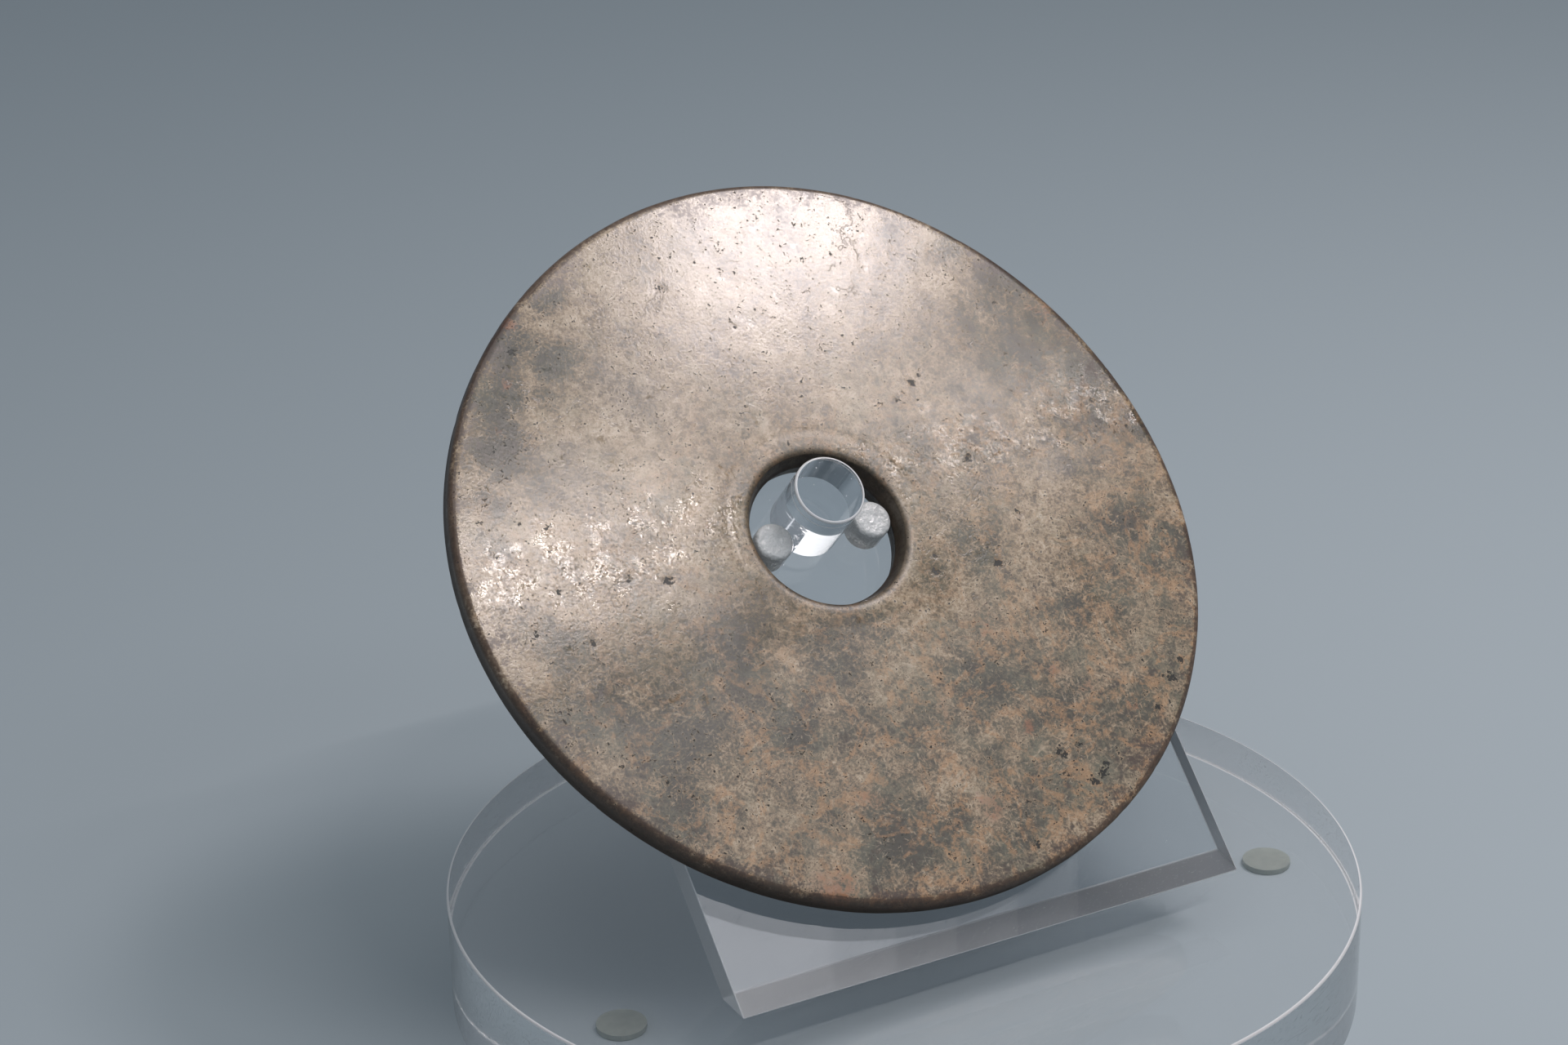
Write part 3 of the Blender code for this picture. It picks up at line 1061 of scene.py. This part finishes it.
@dataclass(frozen=True)
class Stand:
    """The acrylic stand: a thick round base, a tilted sheet, a rod and two short pegs."""

    base_radius: float = 0.1160
    base_thickness: float = 0.0287
    base_edge: float = 0.0006
    base_edge_steps: int = 3
    base_bottom: float = 0.0018
    base_segments: int = 320
    sheet_width: float = 0.1420
    sheet_length: float = 0.1435
    sheet_thickness: float = 0.0074
    sheet_edge: float = 0.0003
    rod_radius: float = 0.0093
    rod_length: float = 0.0194
    rod_edge: float = 0.0006
    rod_edge_steps: int = 4
    groove_back: float = 0.0026
    groove_width: float = 0.0003
    groove_depth: float = 0.00015
    rod_turn: float = radians(22.5)
    peg_radius: float = 0.0051
    peg_length: float = 0.0077
    peg_round: float = 0.0013
    peg_round_steps: int = 6
    peg_dent: float = 0.00025
    peg_dent_radius: float = 0.0022
    peg_segments: int = 96
    peg_turn: float = radians(3.0)

    def base(self, clear: bpy.types.Material, arris: bpy.types.Material, wall: bpy.types.Material) -> None:
        """Turn the round base, with a fine worn arris top and bottom.

        Args:
            clear: Clear acrylic, for the flat faces.
            arris: Worn acrylic, for the arrises.
            wall: Turned acrylic, for the wall.
        """
        inner = self.base_radius - self.base_edge
        steps = self.base_edge_steps
        top = rounded((inner, self.base_thickness - self.base_edge), pi / 2, 0.0, self.base_edge, steps)
        bottom = rounded((inner, self.base_edge), 0.0, -pi / 2, self.base_edge, steps)
        turning = Turning("round_base", "base_disc", "clear_acrylic", (*top, *bottom),
                          arris_bands=(0, 1, 2, 4, 5, 6), wall_bands=(3,), segments=self.base_segments)
        item = turning.build(Matrix.Translation((0.0, 0.0, self.base_bottom)), clear, arris, wall)
        # The floor under the base is lit as if the base weren't there, as it nearly is through clear acrylic.
        item.visible_shadow = False
        item.visible_diffuse = False

    def sheet(self, slope: Slope, clear: bpy.types.Material, cut: bpy.types.Material,
              glued: bpy.types.Material) -> None:
        """Cut the tilted sheet, mitred where it stands on the base.

        Args:
            slope: The sheet's frame.
            clear: Clear acrylic, for the faces.
            cut: Cut acrylic, for the sides, the top edge and the arrises.
            glued: Streaky acrylic, for the mitre that is glued to the base.
        """
        section = ((0.0, 0.0), (0.0, self.sheet_length), (-self.sheet_thickness, self.sheet_length),
                   (-self.sheet_thickness, self.sheet_thickness / tan(slope.tilt)))
        shape = Shape()
        for x in (-self.sheet_width / 2, self.sheet_width / 2):
            shape.add_ring(np.array([(x, up, out) for out, up in section]))
        item = shape.make("tilted_sheet", capped=True, closed=False)
        top_edge, mitre = 1, len(section) - 1
        for number in (top_edge, -2, -1):
            item.data.polygons[number].material_index = 1
        item.data.polygons[mitre].material_index = 2
        arris = item.modifiers.new("arris", "BEVEL")
        arris.width = self.sheet_edge
        arris.segments = 2
        arris.limit_method = "ANGLE"
        arris.angle_limit = radians(30.0)
        arris.harden_normals = True
        arris.material = 1
        settle(item, slope.matrix(), [clear, cut, glued], "clear_acrylic", "easel_plate")

    def pegs(self, slope: Slope, disc: JadeDisc, clear: bpy.types.Material, arris: bpy.types.Material,
             frosted: bpy.types.Material) -> None:
        """Turn the rod and the two short pegs that the hole rests on.

        Args:
            slope: The sheet's frame.
            disc: The disc, whose hole the pegs fill.
            clear: Clear acrylic, for the rod.
            arris: Worn acrylic, for the rod's arris and the fine ring turned behind it.
            frosted: Frosted acrylic, for the pegs.
        """
        hole_x = disc.centre_x + disc.hole_x
        hole_up = disc.centre_up + disc.hole_up
        reach = disc.ridge - CONTACT_GAP - self.peg_radius
        peg_up = hole_up + reach * sin(self.peg_turn)
        centre = (self.peg_radius - self.peg_round, self.peg_length - self.peg_round)
        crown = rounded(centre, pi / 2, 0.0, self.peg_round, self.peg_round_steps)
        dent = (self.peg_dent_radius, self.peg_length - self.peg_dent)
        profile = (dent, *crown, (self.peg_radius, 0.0))
        sides = (("left_short_peg", "left_bumper", -1), ("right_short_peg", "right_bumper", 1))
        for name, node, side in sides:
            turning = Turning(name, node, "frosted_acrylic", profile, segments=self.peg_segments)
            turning.build(slope.at(hole_x + side * reach * cos(self.peg_turn), peg_up, CONTACT_GAP), frosted)
        spacing = self.rod_radius + CONTACT_GAP + self.peg_radius
        rod_x = hole_x - reach * cos(self.peg_turn) + spacing * cos(self.rod_turn)
        rod_up = peg_up + spacing * sin(self.rod_turn)
        centre = (self.rod_radius - self.rod_edge, self.rod_length - self.rod_edge)
        front = rounded(centre, pi / 2, 0.0, self.rod_edge, self.rod_edge_steps)
        ring = self.rod_length - self.groove_back
        bottom = (self.rod_radius - self.groove_depth, ring - self.groove_width / 2)
        groove = ((self.rod_radius, ring), bottom, (self.rod_radius, ring - self.groove_width))
        profile = (*front, *groove, (self.rod_radius, 0.0))
        turning = Turning("clear_rod", "through_peg", "clear_acrylic", profile,
                          arris_bands=(0, 1, 2, 3, 5, 6))
        turning.build(slope.at(rod_x, rod_up, CONTACT_GAP), clear, arris)

    def pads(self, material: bpy.types.Material) -> None:
        """Give the pads under the base their finish; their own solids stay.

        Args:
            material: Milky silicone.
        """
        for name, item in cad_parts.items():
            if name.startswith("foot_pad_"):
                item.data.materials.clear()
                item.data.materials.append(material)
                LOG.info("%s: kept, in milky silicone", name)


@dataclass(frozen=True)
class Softbox:
    """A rectangular light that hangs level."""

    name: str
    place: Place
    size: tuple[float, float]
    watts: float
    colour: Colour
    turn: float = 0.0

    def build(self) -> None:
        """Hang the light."""
        lamp = bpy.data.lights.new(self.name, "AREA")
        lamp.shape = "RECTANGLE"
        lamp.size, lamp.size_y = self.size
        lamp.energy = self.watts
        lamp.color = self.colour
        item = bpy.data.objects.new(self.name, lamp)
        item.location = self.place
        item.rotation_euler = (0.0, 0.0, self.turn)
        bpy.context.scene.collection.objects.link(item)


@dataclass(frozen=True)
class LowPanels:
    """Nested panels that shine on the sheet's lower end, brighter towards their middle."""

    count: int = 5
    x: float = 0.42
    y: float = -0.70
    height: float = 1.00
    rise: float = 0.01
    width: float = 0.50
    width_step: float = 0.08
    depth: float = 0.30
    depth_step: float = 0.02
    radiance: float = 0.66
    colour: Colour = (0.98, 0.96, 1.0)

    def boxes(self) -> list[Softbox]:
        """The panels as softboxes.

        Returns:
            The softboxes, the widest first.
        """
        boxes = []
        for step in range(self.count):
            width = self.width - self.width_step * step
            depth = self.depth - self.depth_step * step
            place = (self.x, self.y, self.height + self.rise * step)
            watts = self.radiance * pi * width * depth
            boxes.append(Softbox(f"low_panel_{step}", place, (width, depth), watts, self.colour))
        return boxes


@dataclass(frozen=True)
class Studio:
    """The floor, the soft lights and the camera."""

    floor_size: float = 6.0
    sky: Colour = (0.74, 0.82, 0.92)
    sky_strength: float = 0.30
    camera_place: Place = (-0.3727, -0.6319, 0.4265)
    heading: float = radians(28.33)
    pitch: float = radians(22.32)
    roll: float = radians(-1.25)
    lens: float = 74.45
    sensor: float = 36.0

    def floor(self, finish: FloorFinish) -> None:
        """Lay the floor under the stand.

        Args:
            finish: The floor's finish.
        """
        half = self.floor_size / 2
        mesh = bpy.data.meshes.new("floor")
        corners = [(-half, -half, 0.0), (half, -half, 0.0), (half, half, 0.0), (-half, half, 0.0)]
        mesh.from_pydata(corners, [], [(0, 1, 2, 3)])
        mesh.materials.append(finish.material())
        item = bpy.data.objects.new("floor", mesh)
        bpy.context.scene.collection.objects.link(item)

    def lights(self, boxes: Iterable[Softbox]) -> None:
        """Light the scene with a soft sky and some softboxes.

        Args:
            boxes: The softboxes.
        """
        world = bpy.data.worlds.new("soft_sky")
        world.use_nodes = True
        background = world.node_tree.nodes["Background"]
        background.inputs["Color"].default_value = (*self.sky, 1.0)
        background.inputs["Strength"].default_value = self.sky_strength
        bpy.context.scene.world = world
        for box in boxes:
            box.build()

    def camera(self) -> None:
        """Set up the camera at the photograph's angle."""
        level = cos(self.pitch)
        ahead = Vector((sin(self.heading) * level, cos(self.heading) * level, -sin(self.pitch)))
        right = Vector((cos(self.heading), -sin(self.heading), 0.0))
        down = ahead.cross(right)
        across = right * cos(self.roll) - down * sin(self.roll)
        upright = -(right * sin(self.roll) + down * cos(self.roll))
        turn = Matrix((across, upright, -ahead)).transposed().to_4x4()
        data = bpy.data.cameras.new("camera")
        data.sensor_width = self.sensor
        data.lens = self.lens
        data.dof.use_dof = False
        item = bpy.data.objects.new("camera", data)
        item.matrix_world = Matrix.Translation(self.camera_place) @ turn
        bpy.context.scene.collection.objects.link(item)
        bpy.context.scene.camera = item


PANEL_TINT = (1.0, 0.90, 0.905)
STRIP_TINT = (1.0, 0.90, 0.87)
SOFTBOXES = (
    Softbox("panel", place=(0.465, -0.090, 1.00), size=(0.22, 0.26), watts=1.42, colour=PANEL_TINT),
    Softbox("panel_heart", place=(0.47, -0.127, 1.01), size=(0.18, 0.185), watts=1.22, colour=PANEL_TINT),
    Softbox("strip_left", place=(0.17, -0.356, 1.00), size=(0.42, 0.014), watts=1.72, colour=STRIP_TINT,
            turn=radians(2.0)),
    Softbox("strip_right", place=(0.64, -0.314, 1.00), size=(0.30, 0.014), watts=0.68, colour=STRIP_TINT,
            turn=radians(-2.0)),
    *LowPanels().boxes(),
    Softbox("ceiling", place=(0.30, -0.02, 1.60), size=(1.70, 0.90), watts=5.9, colour=(1.0, 0.96, 0.95)),
)


def main() -> None:
    """Build the stand and the disc, then light and frame them."""
    logging.basicConfig(level=logging.INFO, format="%(message)s")
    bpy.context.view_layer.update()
    slope = Slope()
    disc = JadeDisc()
    stand = Stand()
    finishes = Acrylics()
    clear = finishes.clear.material()
    arris = finishes.arris.material()
    stand.base(finishes.thick.material(), arris, finishes.turned.material())
    stand.sheet(slope, clear, finishes.cut.material(), finishes.glued.material())
    stand.pegs(slope, disc, clear, arris, finishes.frosted.material())
    stand.pads(SiliconeFinish().material())
    disc.build(slope, JadeFinish())
    studio = Studio()
    studio.floor(FloorFinish())
    studio.lights(SOFTBOXES)
    studio.camera()
    bpy.context.scene.view_settings.view_transform = "Standard"


if __name__ == "__main__":
    main()
